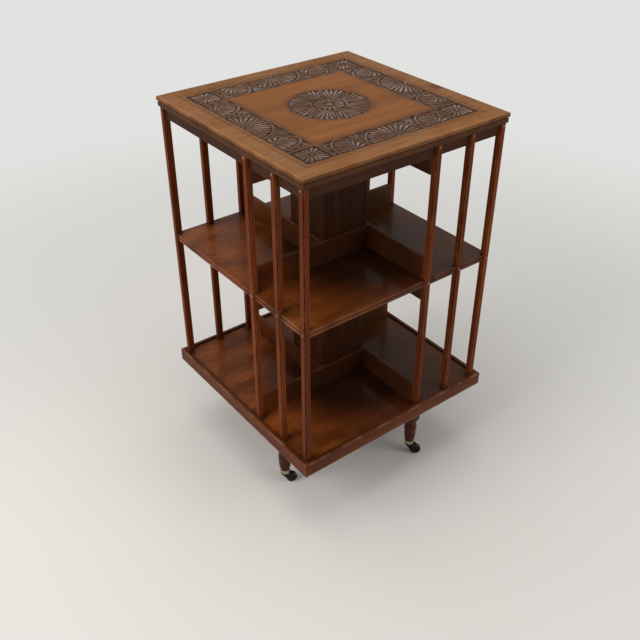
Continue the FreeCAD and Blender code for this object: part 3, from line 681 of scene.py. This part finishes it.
def shell(across, up, half_wide, high, count, hub):
    """Ribs that spread from the foot of their panel, with scalloped ends, about a small hub."""
    radius = np.hypot(across / half_wide, up / high)
    angle = np.arctan2(up / high, across / half_wide)
    off = lobes(np.clip(angle, 0, math.pi - 1e-6), count, math.pi)
    reach = 1.02 - 0.09 * off ** 2
    swell = 0.62 + 0.30 * np.sin(math.pi * radius * 0.8)
    body = rib(off) * (1 - step(radius, reach - 0.05, reach)) * swell
    body = np.where(np.hypot(across, up) < hub * CUT_REACH, CUT_HIGH, body)
    return np.where(up > 0, np.maximum(body, dome(across, up, hub)), 0)


def beyond_arch(across, up, shell_form, arch):
    """How far a point is outside the arch over a shell, and below 0 how far inside it."""
    wide, high = shell_form[:2]
    return (np.hypot(across / (wide + arch[0]), up / (high + arch[1])) - 1) * wide


def rosette(u, v, count, radius, boss):
    """A flower seen from above: round petals with a vein each about a boss."""
    size = np.hypot(u, v)
    off = lobes(np.arctan2(v, u) + math.pi / count, count, 2 * math.pi)
    reach = radius * (1 - 0.16 * off ** 2)
    petal = petals(off, size, reach, soft_from=0.94, low=0.62, swell=0.34)
    petal = np.where(size < boss * CUT_REACH, CUT_HIGH, petal)
    return np.maximum(petal, dome(u, v, boss))


def side_panel(along, up):
    """One side of the border: a wide shell between two small ones, each under an arch.

    Up is measured from the border's outer edge. The second result is 1 along the arches' tops.
    """
    foot = up - PANEL_RIM
    beside = np.abs(along) - SMALL_SHELL_AT
    height = np.maximum(shell(along, foot, *WIDE_SHELL), shell(beside, foot, *SMALL_SHELL))
    wide = beyond_arch(along, foot, WIDE_SHELL, WIDE_ARCH)
    small = beyond_arch(beside, foot, SMALL_SHELL, SMALL_ARCH)
    small_band = np.where(wide > 0, ridge(small, SMALL_ARCH[2]), 0)
    uncut = np.maximum(ridge(wide, WIDE_ARCH[2]), small_band)
    height = np.maximum(height, uncut * 0.95)
    # fine rays over what is left of the ground, as if the wide shell went on behind the rest
    rays = rib(lobes(np.arctan2(foot, along), RAYS, math.pi))
    under_small = (small < -0.05 * SMALL_SHELL[0]) & (height < 0.1)
    ground = (wide > ARCH_CLEAR) & ((small > ARCH_CLEAR) | under_small)
    height = np.where(ground, np.maximum(height, 0.10 + 0.34 * rays), height)
    # leaves that hang from the inner edge
    free = (wide > ARCH_CLEAR) & (small > ARCH_CLEAR)
    for place, half, drop in LEAVES:
        leaf = shell(np.abs(along) - place, PANEL_DEEP - foot, half, drop, 3, 1.5)
        height = np.where(free, np.maximum(height, leaf), height)
    return height, uncut


def corner_panel(u, v):
    """A flower whose petals fill their square: four short ones, and four long to the corners."""
    size = np.hypot(u, v)
    off = lobes(np.arctan2(v, u) + math.pi / 8, 8, 2 * math.pi)
    out = np.maximum(np.maximum(np.abs(u), np.abs(v)), 0.1)
    square = np.minimum(SHORT_PETAL * size / out, LONG_PETAL)
    reach = square * (1 - 0.14 * off ** 2)
    petal = petals(off, size, reach, soft_from=0.93, low=0.60, swell=0.38)
    petal = np.where(size < CORNER_CUT, 0.15, petal)
    return np.maximum(np.maximum(petal, dome(u, v, CORNER_BOSS)), 0.14)


def medallion(x, y):
    """Eight ribbed petals, each in its own outline, about a small flower.

    The second result is 0 on the plain wood between the petals' tips.
    """
    size = np.hypot(x, y)
    sector = math.pi / 4
    angle = np.arctan2(y, x) + sector / 2
    angle = angle - np.floor(angle / sector) * sector - sector / 2
    out, across = size * np.cos(angle), size * np.sin(angle)
    wide = np.interp(out / MEDALLION, PETAL_OUT, PETAL_WIDE) * MEDALLION
    off = lobes(np.arctan2(across, out - RIBS_BEGIN) + RIB_SPAN / 2, 4, RIB_SPAN)
    inside = wide - np.abs(across)
    height = rib(off) * step(inside, 0.4, 2.2) * 0.86
    outline = ridge(inside + 1.8, 1.5) * (out > PETAL_OUT[0] * MEDALLION) * (size < MEDALLION - 2)
    height = np.maximum(height, outline * 0.85)
    height = np.maximum(height, ridge(size - RING, 1.6) * 0.9)
    height = np.where(size < RING - 1.5, rosette(x, y, 8, FLOWER, FLOWER_BOSS), height)
    between = step(-inside, 2.6, 4.0) * step(size, 0.80 * MEDALLION, 0.88 * MEDALLION)
    return np.maximum(height, between), 1 - between


def blurred(field, reach):
    """A height field smoothed over so many grid steps each way."""
    ends = 3 * reach
    weights = np.exp(-(np.arange(-ends, ends + 1) / reach) ** 2 / 2)
    weights /= weights.sum()
    for axis in (0, 1):
        padding = [(ends, ends) if axis == padded else (0, 0) for padded in (0, 1)]
        field = np.pad(field, padding, "edge")
        field = np.apply_along_axis(np.convolve, axis, field, weights, "valid")
    return field


def carve(x, y):
    """Heights of the carved face, 0 to 1, and how far each point is in the carving."""
    far, near = np.maximum(np.abs(x), np.abs(y)), np.minimum(np.abs(x), np.abs(y))
    front, right, back = -y >= np.abs(x), x >= np.abs(y), y >= np.abs(x)
    along = np.select([front, right, back], [x, y, -x], -y)
    up = CARVED_OUT - far
    inner_edge = CARVED_OUT - BAND_WIDE
    middle = CARVED_OUT - BAND_WIDE / 2
    in_corner = near > inner_edge
    in_band = (far > inner_edge) & (far < CARVED_OUT)
    height, uncut = side_panel(along, up)
    uncut = np.where(in_corner, 0, uncut)
    height = np.where(in_corner, corner_panel(np.abs(x) - middle, np.abs(y) - middle), height)
    to_edge = np.minimum(np.minimum(up, far - inner_edge), np.abs(near - inner_edge))
    height = np.maximum(height, 1 - step(to_edge, PANEL_RIM - 1, PANEL_RIM + 0.4))
    size = np.hypot(x, y)
    medal, in_petals = medallion(x, y)
    medal = np.maximum(medal, step(size, MEDALLION - 0.4, MEDALLION + 1))
    in_medallion = size < MEDALLION + 1.5
    height = np.where(in_band, height, np.where(in_medallion, medal, 1))
    band_carved = step(to_edge, 0.6, 2.0) * (1 - 0.3 * uncut)
    medal_carved = (1 - step(size, MEDALLION - 0.5, MEDALLION + 1.5)) * in_petals
    return height, np.where(in_band, band_carved, np.where(in_medallion, medal_carved, 0))


# What the hand does to the carving: how far lines wander, how deep the tool's marks are as a share
# of the relief, how far above or below its surroundings wood is wholly a crest or a hollow, and how
# far dirt reaches beside the carving, in grid steps.
WANDER = 0.35
TOOL_MARKS = 0.05
CREST_FULL = 0.55
GRIME_REACH = 8


def carved_field(x, y):
    """The wood's height from the face, 0 or less, over a grid, and the layers of its finish."""
    wander_x = WANDER * np.sin(x / 17 + np.cos(y / 23) * 2)
    wander_y = WANDER * np.sin(y / 19 + np.cos(x / 21) * 2)
    height, carved = carve(x + wander_x, y + wander_y)
    marks = blurred(chance.normal(0, TOOL_MARKS, height.shape), 1)
    soft = blurred(np.clip(height + marks * carved, 0, 1.02), 1)
    height = np.clip(soft + (soft - blurred(soft, 2)) * 0.6, 0, 1)
    height[0, :] = height[-1, :] = height[:, 0] = height[:, -1] = 1
    relief = (height - 1) * RELIEF
    level = blurred(relief, 4)
    crest = np.clip((relief - level) / CREST_FULL, 0, 1) * carved
    hollow = np.clip((level - relief) / CREST_FULL + (1 - height) * 0.30, 0, 1) * carved
    sunk = (height < 0.9).astype(float)
    grime = np.clip(blurred(sunk, GRIME_REACH) * 2.3, 0, 1) * (1 - carved)
    nowhere = np.zeros(x.size)
    layers = {"carved": carved.ravel(), "crest": crest.ravel(), "hollow": hollow.ravel(),
              "edge": nowhere, "side": nowhere, "grime": grime.ravel(),
              "margin": (np.maximum(np.abs(x), np.abs(y)) >= CARVED_OUT).ravel()}
    return relief, layers


# The margin: plain from the first of these to the last, but for its cut lines. The cut lines'
# places, half their width at the face and at the bottom, and their depth.
MARGIN_FROM, MARGIN_TO = 203.5, 212
CUT_LINES = (205, 209)
CUT_FACE, CUT_BOTTOM, CUT_DEEP = 0.9, 0.3, 0.8
# The nosing's height and radius, and how far in the quirk below it and the band below that lie.
NOSE_HIGH, NOSE_ROUND = 9, 2.4
QUIRK_IN, BAND_IN = 5, 1.5
# Rings further than this below the face are the top's sides.
SIDE_BELOW = 1.2


def top_moulding():
    """Rings of the margin's cut lines and the edge's nosing, quirk and band.

    Each is how far out it is, its height, how hollow it is, which sets painted shade, and how
    rubbed it is, which sets wear and a painted highlight, 0 to 1.
    """
    face, side = TOP_FACE, TOP_HALF
    rings = [(MARGIN_FROM, face, 0, 0)]
    for line in CUT_LINES:
        rings += [(line - CUT_FACE, face, 0, 0), (line - CUT_BOTTOM, face - CUT_DEEP, 1, 0),
                  (line + CUT_BOTTOM, face - CUT_DEEP, 1, 0), (line + CUT_FACE, face, 0, 0)]
    rings += [(MARGIN_TO, face, 0, 0), (side - 6, face, 0, 0), (side - 3.4, face, 0, 0.3)]
    for turn in range(0, 91, 15):
        angle = math.radians(turn)
        rings.append((side - NOSE_ROUND * (1 - math.sin(angle)),
                      face - NOSE_ROUND * (1 - math.cos(angle)), 0, 0.9))
    quirk, band, nose = side - QUIRK_IN, side - BAND_IN, face - NOSE_HIGH
    rings += [(side, nose + 1.2, 0, 0.4), (side - 0.6, nose + 0.3, 0, 0.2),
              (side - 1.4, nose, 0.3, 0), (quirk, nose, 1, 0),
              (quirk, nose - 1.5, 1, 0), (band - 1, nose - 1.5, 0.4, 0.2),
              (band - 0.3, nose - 1.8, 0, 0.25), (band, nose - 2.5, 0, 0.15),
              (band, TOP_UNDER + 0.8, 0, 0.1), (band - 0.8, TOP_UNDER, 0.5, 0)]
    return rings


def round_the_edge(count):
    """The numbers of the points round the edge of a square grid, in turn."""
    last = count - 1
    edge = list(range(count))
    edge += [row * count + last for row in range(1, count)]
    edge += [last * count + column for column in range(count - 2, -1, -1)]
    edge += [row * count for row in range(count - 2, 0, -1)]
    return np.array(edge)


def carved_top():
    """The top board: a carved field in a plain margin with two cut lines, and the moulded edge."""
    count = int(round(2 * (CARVED_OUT + 1) / GRID_STEP)) + 1
    half = (count - 1) * GRID_STEP / 2
    line = np.linspace(-half, half, count)
    x, y = np.meshgrid(line, line, indexing="xy")
    relief, layers = carved_field(x, y)
    height = top_high.z + np.minimum(relief.ravel(), 0) * MM
    places = np.stack([x.ravel() * MM, y.ravel() * MM, height], 1)
    index = np.arange(count * count).reshape(count, count)
    quads = np.stack([index[:-1, :-1], index[:-1, 1:], index[1:, 1:], index[1:, :-1]], -1)
    faces = [quads.reshape(-1, 4)]

    before = round_the_edge(count)
    square = places[before, :2] / (half * MM)
    for out, level, hollow, rubbed in top_moulding():
        start, around = len(places), len(before)
        ring = np.column_stack([square * out * MM, np.full(around, level * MM)])
        places = np.vstack([places, ring])
        on_side = 1 if level < TOP_FACE - SIDE_BELOW else 0
        values = {"carved": 0, "crest": 0, "hollow": hollow, "edge": rubbed, "side": on_side,
                  "grime": 0, "margin": 1}
        for name, value in values.items():
            layers[name] = np.append(layers[name], np.full(around, value))
        here = np.arange(start, start + around)
        faces.append(np.stack([before, here, np.roll(here, -1), np.roll(before, -1)], -1))
        before = here

    mesh = bpy.data.meshes.new("carved_top_form")
    polygons = [tuple(quad) for quad in np.vstack(faces).tolist()] + [tuple(before.tolist())]
    mesh.from_pydata(places.tolist(), [], polygons)
    mesh.validate()
    for name, values in layers.items():
        float_layer(mesh, name, values)
    mesh.polygons.foreach_set("use_smooth", np.ones(len(mesh.polygons), bool))
    mesh.polygons[len(mesh.polygons) - 1].use_smooth = False
    join_flat_field(mesh)
    lay_grain(mesh, along=0)
    new_piece("carved_top", mesh, "case", top_wood, "top_wood", "top_board")


# Less grime than this doesn't show.
CLEAN = 0.004


def join_flat_field(mesh):
    """Joins the grid of the plain field, clear of carving and grime, into a face a quarter."""
    form = bmesh.new()
    form.from_mesh(mesh)
    grime = form.verts.layers.float["grime"]
    inner_edge = (CARVED_OUT - BAND_WIDE) * MM
    quarters = {}
    for face in form.faces:
        middle = face.calc_center_median()
        in_field = max(abs(middle.x), abs(middle.y)) <= inner_edge
        if middle.z < top_high.z - WELD or not in_field or middle.xy.length < MEDALLION * MM:
            continue
        if all(vert[grime] < CLEAN for vert in face.verts):
            quarters.setdefault((middle.x > 0, middle.y > 0), []).append(face)
    for faces in quarters.values():
        bmesh.ops.dissolve_faces(form, faces=faces, use_verts=True)
    form.to_mesh(mesh)
    form.free()


carved_top()


# Case. Lengths from the middle and heights are in millimetres.

# Just inside the outer faces of the plinth and of the middle shelf: level edges further out than
# these are rounded into beads.
PLINTH_BEAD_OUT = 246.5
SHELF_BEAD_OUT = 233.5
# The plinth's inner wall, the middle of its top, its height, and the bottom board's level.
PLINTH_INSIDE = 237.2
PLINTH_MIDDLE = 243
PLINTH_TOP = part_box("plinth_rail_front")[1].z / MM
PLINTH_FOOT = 190
# The dark quirk that runs round the middle shelf inside its bead.
QUIRK_FROM, QUIRK_TO = 231, 233.3
QUIRK_LEVEL, QUIRK_HALF = 503.5, 2.2
# Where the boards of the bottom board meet, across Y, and half the width of the dark joint.
BOARD_JOINTS = (56, -33)
JOINT_HALF = 0.3


def outer_arris(least_out):
    """A test of an edge: whether it runs level, further out than this."""
    def test(edge):
        first, second = (vert.co for vert in edge.verts)
        middle = (first + second) / 2
        return abs(first.z - second.z) < WELD and max(abs(middle.x), abs(middle.y)) > least_out * MM
    return test


def plinth_shade(x, y, z):
    """Painted shade on the plinth: most on its inner wall, some on its top."""
    out = np.maximum(np.abs(x), np.abs(y))
    on_wall = (out < PLINTH_INSIDE) & (z > PLINTH_FOOT)
    on_top = (out < PLINTH_MIDDLE) & (z > PLINTH_TOP - 1)
    return np.where(on_wall, 1, np.where(on_top, 0.36, 0))


def shelf_quirk(x, y, z):
    """The quirk inside the bead of the middle shelf's edge."""
    out = np.maximum(np.abs(x), np.abs(y))
    return (out > QUIRK_FROM) & (out < QUIRK_TO) & (np.abs(z - QUIRK_LEVEL) < QUIRK_HALF)


def board_joints(x, y, z):
    """The joints between the boards of the bottom board."""
    return np.min([np.abs(y - joint) for joint in BOARD_JOINTS], 0) < JOINT_HALF


for side in SIDES:
    dress(f"frieze_rail_{side}", "case", shaded_frieze_wood, "rail_wood")
    plinth = dress(f"plinth_rail_{side}", "case", rail_wood, "rail_wood", round_off=0.5 * MM,
                   bead=outer_arris(PLINTH_BEAD_OUT), bead_round=2.2 * MM)
    mark_line(plinth, plinth_shade)
    for name in SLAT_NAMES:
        slat = f"slat_{side}_{name}"
        piece = dress(slat, "case", slat_wood, "slat_wood", round_off=0.5 * MM, rub=1.0 * MM)
        mark_cut_lines(piece.data, *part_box(slat))
    for tier in ("upper", "lower"):
        dress(f"column_{tier}_{side}", "case", column_wood, "inner_wood")
for node in ("shelf_dividers", "base_dividers", "shelf_strips", "top_strips"):
    dress(node, "case", divider_wood, "inner_wood", round_off=0.8 * MM)
shelf = dress("mid_shelf", "case", shelf_wood, "shelf_wood", round_off=0.5 * MM,
              bead=outer_arris(SHELF_BEAD_OUT), bead_round=2.6 * MM)
mark_line(shelf, shelf_quirk)
board = dress("bottom_board", "case", shelf_wood, "shelf_wood", round_off=0.5 * MM,
              cuts=[joint * MM for joint in BOARD_JOINTS])
mark_line(board, board_joints)
for piece in (shelf, board):
    mark_shade_at_slat_feet(piece)


# Stand


def keep_form(nodes, finish):
    """Gives a finish to CAD nodes that keep their own form."""
    for node in nodes:
        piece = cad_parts[node]
        piece.data.materials.clear()
        piece.data.materials.append(finish)


def curve(start, end, bulge, count):
    """Points between two of a turned profile, bowed out, or in if the bulge is below 0."""
    points = []
    for number in range(count):
        share = number / (count - 1)
        radius = start[0] + (end[0] - start[0]) * share + bulge * math.sin(math.pi * share)
        points.append((radius, start[1] + (end[1] - start[1]) * share))
    return points


def foot_profile():
    """Radius and height up a foot, in mm: spigot, ankle, two rings, belly, neck, head, tenon."""
    spigot = [(9, 34), (9, 41), (10.3, 41), (10.5, 41.3)]
    ankle = curve((10.5, 42), (11.2, 48.4), -0.2, 4) + [(11.4, 49)]
    lower_ring = curve((11.6, 49.1), (11.6, 53.4), 1.0, 9) + [(11.5, 53.5)]
    between = curve((11.5, 53.9), (11.9, 59.2), -0.5, 5) + [(12.0, 59.5)]
    upper_ring = curve((12.4, 59.6), (12.4, 63.9), 1.0, 9) + [(12.1, 64.1)]
    belly = curve((12.1, 64.6), (13.0, 90), 1.7, 14)
    neck = curve((13.05, 90.5), (18.2, 109.2), -1.7, 12)
    head = [(18.4, 110), (18.9, 110.5), (19, 111.3), (19, 116.8), (18.8, 117.6), (18, 118)]
    tenon = [(9, 118), (9, 143)]
    return spigot + ankle + lower_ring + between + upper_ring + belly + neck + head + tenon


for node in ("cross_arm_lower", "cross_arm_upper"):
    dress(node, "stand", stand_wood, "stand_wood", round_off=1.0 * MM)
dress("post", "stand", stand_wood, "stand_wood")
for side in SIDES:
    low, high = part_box(f"foot_{side}")
    middle = ((low.x + high.x) / 2, (low.y + high.y) / 2)
    turned(f"foot_{side}", foot_profile(), middle, "stand", foot_wood, "foot_wood")
keep_form(["slat_pins"], pin_brass)
keep_form(["castor_cups"], cup_brass)
keep_form(["guide_bush"], bush_brass)
keep_form(["pivot_pin", "pivot_plate", "pivot_screws"], pivot_steel)
keep_form([f"castor_fork_{side}" for side in SIDES], castor_iron)
keep_form([f"castor_axle_{side}" for side in SIDES], castor_iron)
keep_form([f"castor_wheel_{side}" for side in SIDES], wheel_iron)


# Floor, light and camera. Lengths are in metres.

PALE = shade(226, 226, 224)
FLOOR_HALF = 6.0
# How far from the middle the floor, with its shadow, goes over to plain paleness.
FLOOR_FADES = (0.55, 2.2)
# The world's strength as light on the object. Where it is seen it is 1.
ROOM_LIGHT = 0.42


def seen(finish):
    """1 where the camera looks straight at a surface, or by way of gloss or glass."""
    eye, gloss, glass = (finish.node("LightPath", out=f"Is {kind} Ray")
                         for kind in ("Camera", "Glossy", "Transmission"))
    return eye.either(gloss).either(glass)


def floor():
    """A pale floor that keeps the shadow near the bookcase and is plain paleness beyond."""
    finish = new_finish("pale_floor")
    spot = finish.place()
    tone = finish.noise(spot, (1.2, 1.2, 1.2), 2)
    colour = finish.mix(tone, shade(238, 237, 234), shade(243, 242, 239))
    lit = finish.node("BsdfDiffuse", None, {"Color": colour})
    glow = finish.node("Emission", None, {"Color": PALE, "Strength": 1.0})
    far = finish.distance(spot, (0, 0, 0)).between(*FLOOR_FADES)
    both = finish.node("MixShader", None, {0: far * seen(finish), 1: lit, 2: glow})
    finish.node("OutputMaterial", None, {"Surface": both})
    mesh = bpy.data.meshes.new("floor_form")
    corners = [(x * FLOOR_HALF, y * FLOOR_HALF, 0) for x, y in ((-1, -1), (1, -1), (1, 1), (-1, 1))]
    mesh.from_pydata(corners, [], [(0, 1, 2, 3)])
    mesh.materials.append(finish.owner)
    piece = bpy.data.objects.new("floor", mesh)
    bpy.context.scene.collection.objects.link(piece)


def surroundings():
    """A pale room: pale where the camera, gloss and glass see it, softer as light."""
    finish = Finish(bpy.data.worlds.new("pale_room"))
    strength = ROOM_LIGHT + seen(finish) * (1 - ROOM_LIGHT)
    sky = finish.node("Background", None, {"Color": PALE, "Strength": strength})
    finish.node("OutputWorld", None, {"Surface": sky})
    bpy.context.scene.world = finish.owner


def lamp(name, place, target, size, power, colour=(1.0, 0.97, 0.93)):
    """A square soft lamp that shines at a target."""
    light = bpy.data.lights.new(name, "AREA")
    light.shape = "RECTANGLE"
    light.size = light.size_y = size
    light.energy = power
    light.color = colour
    piece = bpy.data.objects.new(name, light)
    bpy.context.scene.collection.objects.link(piece)
    piece.location = place
    aim = Vector(target) - Vector(place)
    piece.rotation_euler = aim.to_track_quat("-Z", "Y").to_euler()


# The photograph's view, fitted to the corners of the top and the plinth and to the pins: place,
# azimuth, elevation and roll in degrees, and the lens in mm on a sensor 36 mm wide.
CAMERA_AT = (-0.93796, -1.19268, 1.36533)
CAMERA_TURN = (-37.53, 34.76, 0.03)
LENS, SENSOR = 46.29, 36


def camera():
    azimuth, elevation, roll = (math.radians(angle) for angle in CAMERA_TURN)
    data = bpy.data.cameras.new("camera")
    data.sensor_width = SENSOR
    data.lens = LENS
    piece = bpy.data.objects.new("camera", data)
    bpy.context.scene.collection.objects.link(piece)
    level = math.cos(elevation)
    back = Vector((math.sin(azimuth) * level, -math.cos(azimuth) * level, math.sin(elevation)))
    right = (-back).cross(Vector((0, 0, 1))).normalized()
    up = back.cross(right)
    turn = Matrix((right, up, back)).transposed() @ Matrix.Rotation(roll, 3, "Z")
    piece.matrix_world = Matrix.Translation(CAMERA_AT) @ turn.to_4x4()
    bpy.context.scene.camera = piece


floor()
surroundings()
lamp("window_left", (-2.3, 0.1, 1.9), (0, 0, 0.5), 1.6, 32)
lamp("soft_right", (1.3, -2.4, 1.7), (0, 0, 0.4), 1.8, 19)
lamp("overhead", (-0.2, 0.2, 2.9), (0, 0, 0.5), 2.0, 24)
camera()
bpy.context.scene.view_settings.view_transform = "Standard"
